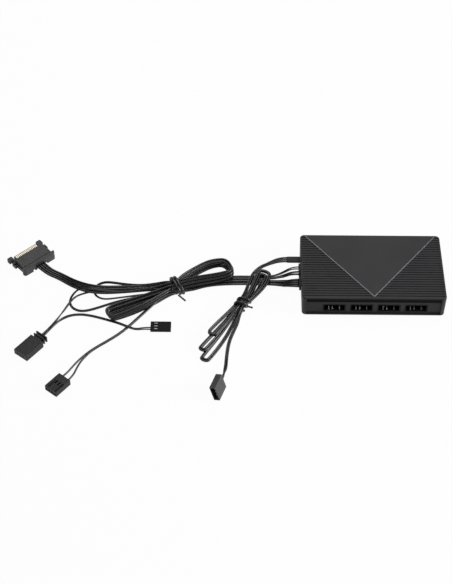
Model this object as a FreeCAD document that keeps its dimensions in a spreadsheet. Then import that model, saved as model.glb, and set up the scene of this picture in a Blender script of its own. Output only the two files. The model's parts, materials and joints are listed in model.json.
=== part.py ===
import FreeCAD, Part
import math
import os
import re
import Sketcher
from FreeCAD import Placement, Rotation, Vector

# Addressable-light fan controller: a flat box with four fan sockets and cables to three kinds of plug.
# Origin at the middle of the underside, +X to the right, the fan sockets face -Y, +Z up, millimetres.

doc = FreeCAD.newDocument("fan_controller")

# Driving dimensions
sizes = {
    # case
    "case_length": 101.2,
    "case_depth": 63.2,
    "case_height": 17.4,
    "draft": 0.3,
    "corner_radius": 3,
    "edge_radius": 0.8,
    "wall": 1.6,
    "roof": 2,
    "base_thickness": 1.5,
    "base_chamfer": 0.4,
    "rim_width": 0.9,
    "rim_gap": 0.15,
    # ribbed roof and its smooth V panel
    "rib_pitch": 2.3,
    "groove_width": 1.1,
    "groove_depth": 0.5,
    "groove_margin": 1.2,
    "groove_start": 2.2,
    "panel_side": 3.2,
    "panel_back": 1.6,
    "panel_tip": 1.3,
    "line_inset": 0.5,
    "line_span": 0.6,
    "line_depth": 0.35,
    # front panel under the lip
    "front_recess": 1.3,
    "lip_height": 2.4,
    "post_width": 3.4,
    # screws and their bosses
    "boss_diameter": 5,
    "boss_gap": 0.3,
    "screw_diameter": 1.9,
    "screw_gap": 0.1,
    "screw_length": 8,
    "head_diameter": 3.8,
    "head_height": 0.8,
    "head_sink": 0.9,
    # circuit board and what is on it
    "board_lift": 0.5,
    "board_thickness": 1,
    "board_gap": 0.5,
    "post_diameter": 5,
    "post_side": 30,
    "post_span": 14,
    "chip_width": 7,
    "chip_height": 1.4,
    "regulator_side": 28,
    "regulator_length": 6.6,
    "regulator_width": 6.1,
    "regulator_height": 2.3,
    "capacitor_side": 22,
    "capacitor_back": 12,
    "capacitor_diameter": 6.3,
    "capacitor_height": 7.7,
    "driver_front": 14,
    "driver_length": 3,
    "driver_width": 1.6,
    "driver_height": 1.1,
    # pins and sockets
    "pin_pitch": 2.54,
    "pin_size": 0.64,
    "fan_pin_count": 6,
    "socket_count": 4,
    "socket_pitch": 19.2,
    "socket_shift": 1.2,
    "socket_depth": 8,
    "socket_wall": 0.8,
    "mouth_width": 14.6,
    "mouth_height": 5.6,
    "mouth_depth": 6.4,
    "pin_inset": 1.2,
    "pin_overhang": 1.4,
    "window_gap": 0.1,
    # side ports
    "port_inset": 1.2,
    "port_depth": 9,
    "port_wall": 0.7,
    "port_height": 6.2,
    "plug_gap": 0.1,
    "plug_insert": 6,
    "pin_hole_depth": 4.5,
    "pin_hole_gap": 0.1,
    "argb_gap": 1.9,
    "argb_pin_count": 3,
    "argb_pin_pitch": 1.5,
    "argb_plug_height": 2,
    "argb_plug_out": 9.3,
    "signal_gap": 0.6,
    "signal_pin_count": 4,
    "signal_pin_pitch": 2.54,
    "signal_plug_height": 4.2,
    "signal_plug_out": 1.2,
    "power_place": -6.2,
    "power_pin_count": 4,
    "power_pin_pitch": 2.54,
    "power_plug_height": 4.4,
    "power_plug_out": 1.2,
    # power plug with a contact tongue
    "cap_length": 2.6,
    "cap_margin": 1.7,
    "cap_height": 6.5,
    "cap_radius": 2,
    "cap_notch_pitch": 3.6,
    "cap_notch_width": 2,
    "cap_notch_height": 2.2,
    "cap_notch_depth": 1.4,
    "shell_length": 11.4,
    "shell_margin": 2.3,
    "shell_height": 5.6,
    "seam_width": 0.7,
    "seam_depth": 0.6,
    "ledge_height": 2.9,
    "ledge_out": 0.7,
    "bump_start": 10.5,
    "bump_end": 14.5,
    "bump_out": 2.4,
    "ear_start": 17,
    "ear_tip": 20.7,
    "ear_out": 2.7,
    "ear_in": 1.4,
    "ear_radius": 0.9,
    "guide_place": 12,
    "guide_out": 1.2,
    "guide_diameter": 1.8,
    "guide_depth": 2,
    "tongue_length": 4.6,
    "tongue_margin": 0.475,
    "tongue_height": 1.3,
    "tongue_lift": 2.2,
    "key_drop": 1.4,
    "key_width": 1.3,
    "contact_count": 15,
    "contact_pitch": 1.27,
    "contact_width": 0.8,
    "contact_length": 4.2,
    "contact_thickness": 0.12,
    # fan header connector
    "header_length": 14,
    "header_height": 4.6,
    "header_rib_height": 1.2,
    "header_rib_width": 1.2,
    "header_rib_place": 3.2,
    "header_rib_length": 8,
    "header_pins": 4,
    "header_hole": 1.7,
    "header_hole_depth": 8,
    "latch_length": 3,
    "latch_width": 1.1,
    "latch_depth": 1.2,
    "latch_place": 8.6,
    # sync connector with a ringed strain relief
    "sync_length": 16.6,
    "sync_width": 11.8,
    "sync_height": 5.2,
    "sync_radius": 1.2,
    "sync_pins": 3,
    "sync_hole": 1.1,
    "sync_hole_depth": 9,
    "neck_length": 5.2,
    "neck_width": 6,
    "neck_height": 3.4,
    "ring_count": 2,
    "ring_thickness": 0.9,
    "ring_pitch": 2.4,
    "ring_width": 9.6,
    "ring_height": 4.8,
    # three pin connector
    "crimp_length": 14.3,
    "crimp_height": 2.54,
    "crimp_hole": 1,
    "crimp_hole_depth": 9,
    "crimp_window_length": 2.4,
    "crimp_window_width": 1.3,
    "crimp_window_place": 2.6,
    "crimp_pins": 3,
    "crimp_wall": 0.4,
    # light strip connector at the far end of the light cable
    "strip_length": 12.7,
    "strip_width": 4.2,
    "strip_height": 12,
    "strip_wall": 0.45,
    "strip_depth": 7,
    "strip_pins": 3,
    "strip_pin_length": 5,
    "strip_lean": 16.7,
    # cables: wire diameters, ties and hanks
    "power_wire": 1.3,
    "fan_wire": 1.25,
    "fan_wires": 2,
    "sync_wire": 1.1,
    "sync_wires": 2,
    "light_wire": 1,
    "waist_length": 13,
    "waist_width": 10.2,
    "waist_height": 9.4,
    "band_height": 7.4,
    "band_thickness": 2.4,
    "light_waist_length": 9,
    "light_waist_width": 8.4,
    "light_waist_height": 5.4,
    "light_band_thickness": 1.2,
    "loop_root": 1,
    "end_run": 5,
    "tie_width": 3.2,
    "tie_thickness": 0.8,
    "tie_tail": 7,
}

sheet = doc.addObject("Spreadsheet::Sheet", "sizes")
for row, (alias, value) in enumerate(sizes.items(), start=1):
    sheet.set("A%d" % row, alias)
    sheet.set("B%d" % row, str(value))
    sheet.setAlias("B%d" % row, alias)
doc.recompute()


def size(alias):
    return float(getattr(sheet, alias))


# An expression names sizes by their bare words: each gets the sheet's name in front.
def bound(text):
    return re.sub(r"[a-z_]+", lambda word: "sizes." + word[0] if word[0] in sizes else word[0], str(text))


def bind(item, **expressions):
    for name, text in expressions.items():
        item.setExpression(name, bound(text))


def place(item, x="0", y="0", z="0"):
    for axis, text in zip("xyz", (x, y, z)):
        item.setExpression("Placement.Base." + axis, bound(text))


nodes = []


def new_body(label):
    body = doc.addObject("PartDesign::Body", label)
    body.Label = label
    nodes.append(body)
    return body


def origin_feature(body, role):
    return next(item for item in body.Origin.OriginFeatures if item.Role == role)


# A sketch on one of its body's origin planes, moved along the plane's normal by an expression.
def new_sketch(body, plane, offset="0"):
    sketch = body.newObject("Sketcher::SketchObject", body.Name + "_sketch")
    sketch.AttachmentSupport = [(origin_feature(body, plane), "")]
    sketch.MapMode = "FlatFace"
    sketch.setExpression("AttachmentOffset.Base.z", bound(offset))
    return sketch


def fix_point(sketch, geometry, point, x, y):
    for kind, text in (("DistanceX", x), ("DistanceY", y)):
        index = sketch.addConstraint(Sketcher.Constraint(kind, -1, 1, geometry, point, 1.0))
        sketch.setExpression("Constraints[%d]" % index, bound(text))


# A closed outline whose corners are pairs of expressions.
def outline(sketch, corners):
    count = len(corners)
    first = sketch.GeometryCount
    rough = [Vector(math.cos(2 * math.pi * k / count), math.sin(2 * math.pi * k / count), 0)
             for k in range(count)]
    for k in range(count):
        sketch.addGeometry(Part.LineSegment(rough[k], rough[(k + 1) % count]))
    for k in range(count):
        following = first + (k + 1) % count
        sketch.addConstraint(Sketcher.Constraint("Coincident", first + k, 2, following, 1))
    for k, (x, y) in enumerate(corners):
        fix_point(sketch, first + k, 1, x, y)


def rectangle(sketch, left, right, low, high):
    outline(sketch, [(left, low), (right, low), (right, high), (left, high)])


def circle(sketch, x, y, diameter):
    index = sketch.addGeometry(Part.Circle(Vector(0, 0, 0), Vector(0, 0, 1), 1))
    fix_point(sketch, index, 3, x, y)
    across = sketch.addConstraint(Sketcher.Constraint("Diameter", index, 2.0))
    sketch.setExpression("Constraints[%d]" % across, bound(diameter))


def pad(body, sketch, length, backwards=False):
    feature = body.newObject("PartDesign::Pad", body.Name + "_pad")
    feature.Profile = sketch
    feature.Reversed = backwards
    bind(feature, Length=length)
    doc.recompute()
    return feature


# A pocket that leaves the solid as it was points the wrong way.
def pocket(body, sketch, length, backwards=False):
    before = body.Shape.Volume
    feature = body.newObject("PartDesign::Pocket", body.Name + "_pocket")
    feature.Profile = sketch
    feature.Reversed = backwards
    bind(feature, Length=length)
    doc.recompute()
    if body.Shape.Volume > before - 1e-6:
        raise RuntimeError(feature.Name + " cuts nothing")
    return feature


def repeat(body, feature, axis, length, count):
    pattern = body.newObject("PartDesign::LinearPattern", body.Name + "_row")
    pattern.Originals = [feature]
    pattern.Direction = (origin_feature(body, axis), [""])
    bind(pattern, Length=length, Occurrences=count)
    body.Tip = pattern
    doc.recompute()
    return pattern


# Rounds or bevels the edges of a body that a test picks.
def soften(body, kind, picked, **amount):
    base = body.Tip
    names = ["Edge%d" % (k + 1) for k, edge in enumerate(base.Shape.Edges) if picked(edge)]
    feature = body.newObject("PartDesign::" + kind, body.Name + "_edges")
    feature.Base = (base, names)
    bind(feature, **amount)
    body.Tip = feature
    doc.recompute()


def rising(edge):
    return abs(edge.tangentAt(edge.FirstParameter).z) > 0.5


def level(height):
    return lambda edge: all(abs(v.Z - height) < 1e-4 for v in edge.Vertexes)


# Top cover: drafted shell, ribbed roof with a smooth V panel, recessed front panel with socket windows
foot_x = "(case_length / 2 - draft)"
foot_y = "(case_depth / 2 - draft)"
inside_x = "(case_length / 2 - draft - wall)"
inside_back = "(case_depth / 2 - draft - wall)"
inside_front = "(case_depth / 2 - front_recess - wall)"
board_top = "(base_thickness + board_lift + board_thickness)"
panel_x = "(case_length / 2 - panel_side)"
panel_rear = "(case_depth / 2 - panel_back)"
panel_slope = "((case_depth - panel_back - panel_tip) / (case_length / 2 - panel_side))"
line_x = "(case_length / 2 - panel_side - line_inset)"
boss_x = "(case_length / 2 - port_inset - port_depth - pin_overhang - boss_gap - boss_diameter / 2)"
boss_back = "(case_depth / 2 - draft - wall - rim_gap - rim_width - boss_gap - boss_diameter / 2)"
boss_front = "(case_depth / 2 - front_recess - socket_depth - pin_overhang - boss_gap - boss_diameter / 2)"
screw_places = [(x, y) for x in ("-" + boss_x, boss_x) for y in ("-" + boss_front, boss_back)]
ports = ("power", "signal", "argb")


# Half the width of a port's plug, with what is wider than the plug added to it
def port_half(port, extra):
    return "(%s_pin_count * %s_pin_pitch / 2 + %s)" % (port, port, extra)


# The middles of the ports along the left side: each socket stands its gap behind the one in front of it.
port_places = {"power": "power_place"}
for before, port in zip(ports, ports[1:]):
    halves = [port_half(name, "plug_gap + port_wall") for name in (before, port)]
    port_places[port] = "(%s + %s + %s + %s_gap)" % (port_places[before], *halves, port)


# The V of the accent line: its outer edge, then its inner edge, both cut square at the rear.
def accent_outline(sketch):
    inner_x = "(%s - line_span)" % line_x
    outer_tip = "(-case_depth / 2 + panel_tip + line_inset * %s)" % panel_slope
    inner_tip = "(%s + line_span * %s)" % (outer_tip, panel_slope)
    outline(sketch, [("-" + line_x, panel_rear), ("0", outer_tip), (line_x, panel_rear),
                     (inner_x, panel_rear), ("0", inner_tip), ("-" + inner_x, panel_rear)])


def make_cover():
    body = new_body("top_cover")
    lower = new_sketch(body, "XY_Plane", "base_thickness")
    rectangle(lower, "-" + foot_x, foot_x, "-" + foot_y, foot_y)
    block = pad(body, lower, "case_height - base_thickness")
    bind(block, TaperAngle="atan(draft / (case_height - base_thickness))")
    doc.recompute()
    soften(body, "Fillet", rising, Radius="corner_radius")
    soften(body, "Fillet", level(size("case_height")), Radius="edge_radius")
    cavity = new_sketch(body, "XY_Plane", "base_thickness")
    rectangle(cavity, "-" + inside_x, inside_x, "-" + inside_front, inside_back)
    pocket(body, cavity, "case_height - base_thickness - roof", True)
    bosses = new_sketch(body, "XY_Plane", "base_thickness")
    for x, y in screw_places:
        circle(bosses, x, y, "boss_diameter")
    pad(body, bosses, "case_height - base_thickness - roof")
    pilots = new_sketch(body, "XY_Plane", "base_thickness")
    for x, y in screw_places:
        circle(pilots, x, y, "screw_diameter + 2 * screw_gap")
    pocket(body, pilots, "screw_length", True)
    front = new_sketch(body, "XZ_Plane", "case_depth / 2")
    post_x = "(case_length / 2 - post_width)"
    rectangle(front, "-" + post_x, post_x, "base_thickness", "case_height - lip_height")
    pocket(body, front, "front_recess")
    window = new_sketch(body, "XZ_Plane", "case_depth / 2 - front_recess")
    reach = "(mouth_width / 2 + socket_wall + window_gap)"
    first = "-socket_pitch * (socket_count - 1) / 2 + socket_shift"
    rectangle(window, first + " - " + reach, first + " + " + reach, board_top + " - window_gap",
              board_top + " + mouth_height + 2 * socket_wall + window_gap")
    opening = pocket(body, window, "2 * wall")
    repeat(body, opening, "X_Axis", "socket_pitch * (socket_count - 1)", "socket_count")
    sides = new_sketch(body, "YZ_Plane", "-case_length / 2")
    for port in ports:
        wide = port_half(port, "plug_gap + port_wall + window_gap")
        rectangle(sides, port_places[port] + " - " + wide, port_places[port] + " + " + wide,
                  board_top + " - window_gap", board_top + " + port_height + window_gap")
    pocket(body, sides, "draft + 2 * wall", True)
    groove = new_sketch(body, "XY_Plane", "case_height")
    groove_x = "(case_length / 2 - groove_margin)"
    first_groove = "-case_depth / 2 + groove_start"
    rectangle(groove, "-" + groove_x, groove_x, first_groove, first_groove + " + groove_width")
    cut = pocket(body, groove, "groove_depth")
    steps = "floor((case_depth - 2 * groove_start - groove_width) / rib_pitch)"
    repeat(body, cut, "Y_Axis", "rib_pitch * " + steps, steps + " + 1")
    panel = new_sketch(body, "XY_Plane", "case_height - groove_depth")
    outline(panel, [("-" + panel_x, panel_rear), ("0", "-case_depth / 2 + panel_tip"), (panel_x, panel_rear)])
    pad(body, panel, "groove_depth")
    line = new_sketch(body, "XY_Plane", "case_height")
    accent_outline(line)
    pocket(body, line, "line_depth")


def make_accent_line():
    body = new_body("accent_line")
    line = new_sketch(body, "XY_Plane", "case_height - line_depth")
    accent_outline(line)
    pad(body, line, "line_depth")


# Base plate: bevelled foot, locating rim inside the cover, board posts, countersunk screw holes
def make_base():
    body = new_body("base_plate")
    foot = new_sketch(body, "XY_Plane")
    rectangle(foot, "-" + foot_x, foot_x, "-" + foot_y, foot_y)
    pad(body, foot, "base_thickness")
    soften(body, "Fillet", rising, Radius="corner_radius")
    soften(body, "Chamfer", level(0), Size="base_chamfer")
    rim = new_sketch(body, "XY_Plane", "base_thickness")
    rim_x = "(case_length / 2 - draft - wall - rim_gap)"
    rim_back = "(case_depth / 2 - draft - wall - rim_gap)"
    rim_front = "(case_depth / 2 - front_recess - wall - rim_gap)"
    rectangle(rim, "-" + rim_x, rim_x, "-" + rim_front, rim_back)
    rectangle(rim, "-%s + rim_width" % rim_x, rim_x + " - rim_width", "-%s + rim_width" % rim_front,
              rim_back + " - rim_width")
    pad(body, rim, "board_lift")
    posts = new_sketch(body, "XY_Plane", "base_thickness")
    for x in ("-post_side", "post_side"):
        for y in ("-post_span", "post_span"):
            circle(posts, x, y, "post_diameter")
    pad(body, posts, "board_lift")
    holes = new_sketch(body, "XY_Plane")
    for x, y in screw_places:
        circle(holes, x, y, "screw_diameter + 4 * screw_gap")
    pocket(body, holes, "base_thickness", True)
    sinks = new_sketch(body, "XY_Plane")
    for x, y in screw_places:
        circle(sinks, x, y, "head_diameter + 4 * screw_gap")
    pocket(body, sinks, "head_sink", True)


def make_screws():
    screws = []
    for k, (x, y) in enumerate(screw_places):
        head = doc.addObject("Part::Cylinder", "screw_head_%d" % k)
        bind(head, Radius="head_diameter / 2", Height="head_height")
        place(head, x, y, "head_sink - head_height")
        shank = doc.addObject("Part::Cylinder", "screw_shank_%d" % k)
        bind(shank, Radius="screw_diameter / 2", Height="screw_length")
        place(shank, x, y, "head_sink")
        screw = doc.addObject("Part::Fuse", "screw_%d" % k)
        screw.Base = head
        screw.Tool = shank
        screws.append(screw)
    group = doc.addObject("Part::Compound", "case_screws")
    group.Links = screws
    nodes.append(group)


# Circuit board on the posts, with clearance round the screw bosses
def make_board():
    body = new_body("circuit_board")
    sheet_outline = new_sketch(body, "XY_Plane", "base_thickness + board_lift")
    board_x = "(case_length / 2 - draft - wall - board_gap)"
    rectangle(sheet_outline, "-" + board_x, board_x, "-case_depth / 2 + front_recess + wall + board_gap",
              "case_depth / 2 - draft - wall - board_gap")
    pad(body, sheet_outline, "board_thickness")
    holes = new_sketch(body, "XY_Plane", "base_thickness + board_lift")
    for x, y in screw_places:
        circle(holes, x, y, "boss_diameter + 2 * boss_gap")
    pocket(body, holes, "board_thickness", True)


def on_board(label, kind, x, y, **expressions):
    piece = doc.addObject("Part::" + kind, label)
    bind(piece, **expressions)
    place(piece, x, y, board_top)
    return piece


def make_components():
    chip = on_board("controller_chip", "Box", "-chip_width / 2", "-chip_width / 2",
                    Length="chip_width", Width="chip_width", Height="chip_height")
    regulator = on_board("voltage_regulator", "Box", "-regulator_side", "power_place - regulator_width / 2",
                         Length="regulator_length", Width="regulator_width", Height="regulator_height")
    capacitor = on_board("input_capacitor", "Cylinder", "-capacitor_side", "capacitor_back",
                         Radius="capacitor_diameter / 2", Height="capacitor_height")
    nodes.extend([chip, regulator, capacitor])
    drivers = []
    for k in range(int(size("socket_count"))):
        middle = "(%d - (socket_count - 1) / 2) * socket_pitch + socket_shift" % k
        drivers.append(on_board("driver_%d" % k, "Box", middle + " - driver_length / 2", "-driver_front",
                                Length="driver_length", Width="driver_width", Height="driver_height"))
    group = doc.addObject("Part::Compound", "fan_drivers")
    group.Links = drivers
    nodes.append(group)


# A fan socket is a shroud open to the front with six bent pins through its rear wall.
socket_front = "(case_depth / 2 - front_recess)"
pin_level = "(%s + socket_wall + mouth_height / 2)" % board_top
first_pin = "(-pin_pitch * (fan_pin_count - 1) / 2 - pin_size / 2)"


# The lower and upper edge of a pin whose middle is at a height
def pin_edges(height):
    return height + " - pin_size / 2", height + " + pin_size / 2"


# Side view of a bent pin: from its tip level to the back and down to the board
def bent_pin(sketch, tip, back, low, high):
    knee = back + " - pin_size"
    outline(sketch, [(tip, low), (knee, low), (knee, board_top), (back, board_top), (back, high),
                     (tip, high)])


def make_fan_socket(k):
    middle = "(%d - (socket_count - 1) / 2) * socket_pitch + socket_shift" % k
    low, high = pin_edges(pin_level)
    shroud = new_body("fan_socket_%d" % (k + 1))
    block = new_sketch(shroud, "XZ_Plane", socket_front)
    wide = "(mouth_width / 2 + socket_wall)"
    rectangle(block, "-" + wide, wide, board_top, board_top + " + mouth_height + 2 * socket_wall")
    pad(shroud, block, "socket_depth", True)
    mouth = new_sketch(shroud, "XZ_Plane", socket_front)
    rectangle(mouth, "-mouth_width / 2", "mouth_width / 2", board_top + " + socket_wall",
              board_top + " + socket_wall + mouth_height")
    pocket(shroud, mouth, "mouth_depth")
    hole = new_sketch(shroud, "XZ_Plane", socket_front)
    rectangle(hole, first_pin, first_pin + " + pin_size", low, high)
    drilled = pocket(shroud, hole, "socket_depth")
    repeat(shroud, drilled, "X_Axis", "pin_pitch * (fan_pin_count - 1)", "fan_pin_count")
    place(shroud, middle)
    pins = new_body("fan_pins_%d" % (k + 1))
    bend = new_sketch(pins, "YZ_Plane", first_pin)
    tip = "(-%s + pin_inset)" % socket_front
    back = "(-%s + socket_depth + pin_overhang)" % socket_front
    bent_pin(bend, tip, back, low, high)
    pin = pad(pins, bend, "pin_size")
    repeat(pins, pin, "X_Axis", "pin_pitch * (fan_pin_count - 1)", "fan_pin_count")
    place(pins, middle)


# A side port is a socket on the board's left edge, its bent pins and the cable plug pushed into it.
port_mouth = "(-case_length / 2 + port_inset)"
port_level = "(%s + port_height / 2)" % board_top


def make_port(port):
    count = port + "_pin_count"
    plug_high = port + "_plug_height"
    cavity_half = port_half(port, "plug_gap")
    socket_half = port_half(port, "plug_gap + port_wall")
    plug_half = port_half(port, "0")
    row = "(%s_pin_pitch * (%s - 1))" % (port, count)
    start = "(-%s / 2 - pin_size / 2)" % row
    centre = port_places[port]
    low, high = pin_edges(port_level)
    socket = new_body(port + "_socket")
    block = new_sketch(socket, "YZ_Plane", port_mouth)
    rectangle(block, "-" + socket_half, socket_half, board_top, board_top + " + port_height")
    pad(socket, block, "port_depth")
    cavity = new_sketch(socket, "YZ_Plane", port_mouth)
    rectangle(cavity, "-" + cavity_half, cavity_half, "%s - %s / 2 - plug_gap" % (port_level, plug_high),
              "%s + %s / 2 + plug_gap" % (port_level, plug_high))
    pocket(socket, cavity, "plug_insert + plug_gap", True)
    hole = new_sketch(socket, "YZ_Plane", port_mouth)
    rectangle(hole, start, start + " + pin_size", low, high)
    drilled = pocket(socket, hole, "port_depth", True)
    repeat(socket, drilled, "Y_Axis", row, count)
    place(socket, y=centre)
    pins = new_body(port + "_pins")
    bend = new_sketch(pins, "XZ_Plane", "-" + start)
    tip = "(%s + plug_insert - pin_hole_depth + pin_hole_gap)" % port_mouth
    back = "(%s + port_depth + pin_overhang)" % port_mouth
    bent_pin(bend, tip, back, low, high)
    pin = pad(pins, bend, "pin_size", True)
    repeat(pins, pin, "Y_Axis", row, count)
    place(pins, y=centre)
    plug = new_body(port + "_plug")
    outside = "(-case_length / 2 - %s_plug_out)" % port
    shape = new_sketch(plug, "YZ_Plane", outside)
    rectangle(shape, "-" + plug_half, plug_half, "%s - %s / 2" % (port_level, plug_high),
              "%s + %s / 2" % (port_level, plug_high))
    pad(plug, shape, "%s_plug_out + port_inset + plug_insert" % port)
    way = new_sketch(plug, "YZ_Plane", port_mouth + " + plug_insert")
    rectangle(way, start + " - pin_hole_gap", start + " + pin_size + pin_hole_gap", low + " - pin_hole_gap",
              high + " + pin_hole_gap")
    bored = pocket(plug, way, "pin_hole_depth")
    repeat(plug, bored, "Y_Axis", row, count)
    place(plug, y=centre)


# Cable connectors lie on the floor: each is drawn from its cable end at the origin along +X.
def lay(body, x, y, heading, z=0.0):
    body.Placement = Placement(Vector(x, y, z), Rotation(Vector(0, 0, 1), heading))


power_end = (-239.2, 13.2, 133)
fan_end = (-212.0, -93.4, 231.5)
sync_end = (-231.1, -55.5, 232.5)
crimp_end = (-156.4, -44.8, 0)
strip_end = (-104.7, -97.5, 250.5)


def make_power_connector():
    tongue_half = "(contact_pitch * contact_count / 2 + tongue_margin)"
    shell_half = "(%s + shell_margin)" % tongue_half
    cap_half = "(%s + cap_margin)" % shell_half
    cap = new_body("power_connector_cap")
    back = new_sketch(cap, "XY_Plane")
    rectangle(back, "0", "cap_length", "-" + cap_half, cap_half)
    pad(cap, back, "cap_height")
    soften(cap, "Fillet", lambda edge: rising(edge) and edge.CenterOfMass.x < 1, Radius="cap_radius")
    notch = new_sketch(cap, "YZ_Plane")
    row = "cap_notch_pitch * (power_pin_count - 1)"
    start = "(-%s / 2 - cap_notch_width / 2)" % row
    rectangle(notch, start, start + " + cap_notch_width", "0", "cap_notch_height")
    cut = pocket(cap, notch, "cap_notch_depth", True)
    repeat(cap, cut, "Y_Axis", row, "power_pin_count")
    lay(cap, *power_end)
    shell = new_body("power_connector_shell")
    plan = new_sketch(shell, "XY_Plane", "(cap_height - shell_height) / 2")
    front = "(cap_length + shell_length)"
    ledge, bump, ear = ["(%s + %s_out)" % (shell_half, name) for name in ("ledge", "bump", "ear")]
    inner = "(%s - ear_in)" % shell_half
    half = [("cap_length", ledge), ("bump_start", ledge), ("bump_start", bump), ("bump_end", bump),
            ("bump_end", shell_half), ("ear_start", shell_half), ("ear_start", ear), ("ear_tip", ear),
            ("ear_tip", inner), (front, inner)]
    outline(plan, [(x, "-" + y) for x, y in half] + half[::-1])
    pad(shell, plan, "ledge_height")
    ear_tip = size("ear_tip")
    soften(shell, "Fillet", lambda edge: rising(edge) and edge.CenterOfMass.x > ear_tip - 1e-4,
           Radius="ear_radius")
    box = new_sketch(shell, "XY_Plane", "(cap_height - shell_height) / 2")
    rectangle(box, "cap_length", front, "-" + shell_half, shell_half)
    pad(shell, box, "shell_height")
    seam = new_sketch(shell, "XY_Plane", "(cap_height + shell_height) / 2")
    rectangle(seam, "cap_length", "cap_length + seam_width", "-" + shell_half, shell_half)
    pocket(shell, seam, "seam_depth")
    guide = new_sketch(shell, "XY_Plane", "(cap_height - shell_height) / 2 + ledge_height")
    for y in ("-%s - guide_out" % shell_half, shell_half + " + guide_out"):
        circle(guide, "guide_place", y, "guide_diameter")
    pocket(shell, guide, "guide_depth")
    tongue = new_sketch(shell, "YZ_Plane", front)
    low = "((cap_height - shell_height) / 2 + tongue_lift)"
    high = "(%s + tongue_height)" % low
    key = tongue_half + " - key_width"
    outline(tongue, [("-" + tongue_half, low), (key, low), (key, low + " - key_drop"),
                     (tongue_half, low + " - key_drop"), (tongue_half, high), ("-" + tongue_half, high)])
    pad(shell, tongue, "tongue_length")
    lay(shell, *power_end)
    contacts = new_body("power_connector_contacts")
    strip = new_sketch(contacts, "XY_Plane", high)
    start = "-contact_pitch * (contact_count - 1) / 2 - contact_width / 2"
    rectangle(strip, front, front + " + contact_length", start, start + " + contact_width")
    blade = pad(contacts, strip, "contact_thickness")
    repeat(contacts, blade, "Y_Axis", "contact_pitch * (contact_count - 1)", "contact_count")
    lay(contacts, *power_end)


def make_fan_connector():
    body = new_body("fan_connector")
    plan = new_sketch(body, "XY_Plane")
    wide = "(header_pins * pin_pitch / 2)"
    rectangle(plan, "0", "header_length", "-" + wide, wide)
    pad(body, plan, "header_height")
    ribs = new_sketch(body, "XY_Plane", "header_height")
    for side in ("-header_rib_place", "header_rib_place"):
        rectangle(ribs, "header_length - header_rib_length", "header_length",
                  side + " - header_rib_width / 2", side + " + header_rib_width / 2")
    pad(body, ribs, "header_rib_height")
    start = "(-pin_pitch * (header_pins - 1) / 2)"
    row = "pin_pitch * (header_pins - 1)"
    hole = new_sketch(body, "YZ_Plane", "header_length")
    rectangle(hole, start + " - header_hole / 2", start + " + header_hole / 2",
              "header_height / 2 - header_hole / 2", "header_height / 2 + header_hole / 2")
    bored = pocket(body, hole, "header_hole_depth")
    repeat(body, bored, "Y_Axis", row, "header_pins")
    latch = new_sketch(body, "XY_Plane", "header_height")
    rectangle(latch, "header_length - latch_place", "header_length - latch_place + latch_length",
              start + " - latch_width / 2", start + " + latch_width / 2")
    slot = pocket(body, latch, "latch_depth")
    repeat(body, slot, "Y_Axis", row, "header_pins")
    lay(body, *fan_end)


def make_sync_connector():
    body = new_body("sync_connector")
    plan = new_sketch(body, "XY_Plane")
    rectangle(plan, "neck_length", "neck_length + sync_length", "-sync_width / 2", "sync_width / 2")
    pad(body, plan, "sync_height")
    soften(body, "Fillet", lambda edge: level(size("sync_height"))(edge) and abs(edge.tangentAt(0).x) > 0.5,
           Radius="sync_radius")
    neck = new_sketch(body, "YZ_Plane", "neck_length")
    rectangle(neck, "-neck_width / 2", "neck_width / 2", "(sync_height - neck_height) / 2",
              "(sync_height + neck_height) / 2")
    pad(body, neck, "neck_length", True)
    ring = new_sketch(body, "YZ_Plane")
    rectangle(ring, "-ring_width / 2", "ring_width / 2", "(sync_height - ring_height) / 2",
              "(sync_height + ring_height) / 2")
    slab = pad(body, ring, "ring_thickness")
    repeat(body, slab, "X_Axis", "ring_pitch * (ring_count - 1)", "ring_count")
    hole = new_sketch(body, "YZ_Plane", "neck_length + sync_length")
    start = "(-pin_pitch * (sync_pins - 1) / 2)"
    rectangle(hole, start + " - sync_hole / 2", start + " + sync_hole / 2", "(sync_height - sync_hole) / 2",
              "(sync_height + sync_hole) / 2")
    bored = pocket(body, hole, "sync_hole_depth")
    repeat(body, bored, "Y_Axis", "pin_pitch * (sync_pins - 1)", "sync_pins")
    lay(body, *sync_end)


def make_crimp_connector():
    body = new_body("three_pin_connector")
    plan = new_sketch(body, "XY_Plane")
    wide = "(crimp_pins * pin_pitch / 2)"
    start = "(-pin_pitch * (crimp_pins - 1) / 2)"
    row = "pin_pitch * (crimp_pins - 1)"
    rectangle(plan, "0", "crimp_length", "-" + wide, wide)
    pad(body, plan, "crimp_height")
    hole = new_sketch(body, "YZ_Plane", "crimp_length")
    rectangle(hole, start + " - crimp_hole / 2", start + " + crimp_hole / 2",
              "(crimp_height - crimp_hole) / 2", "(crimp_height + crimp_hole) / 2")
    bored = pocket(body, hole, "crimp_hole_depth")
    repeat(body, bored, "Y_Axis", row, "crimp_pins")
    window = new_sketch(body, "XY_Plane", "crimp_height")
    rectangle(window, "crimp_window_place", "crimp_window_place + crimp_window_length",
              start + " - crimp_window_width / 2", start + " + crimp_window_width / 2")
    cut = pocket(body, window, "crimp_height - crimp_wall")
    repeat(body, cut, "Y_Axis", row, "crimp_pins")
    lay(body, *crimp_end)
    contacts = new_body("three_pin_contacts")
    barrel = new_sketch(contacts, "XY_Plane", "crimp_wall")
    rectangle(barrel, "crimp_window_place", "crimp_window_place + crimp_window_length",
              start + " - crimp_hole / 2", start + " + crimp_hole / 2")
    sleeve = pad(contacts, barrel, "crimp_height - 2 * crimp_wall")
    repeat(contacts, sleeve, "Y_Axis", row, "crimp_pins")
    lay(contacts, *crimp_end)


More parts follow.
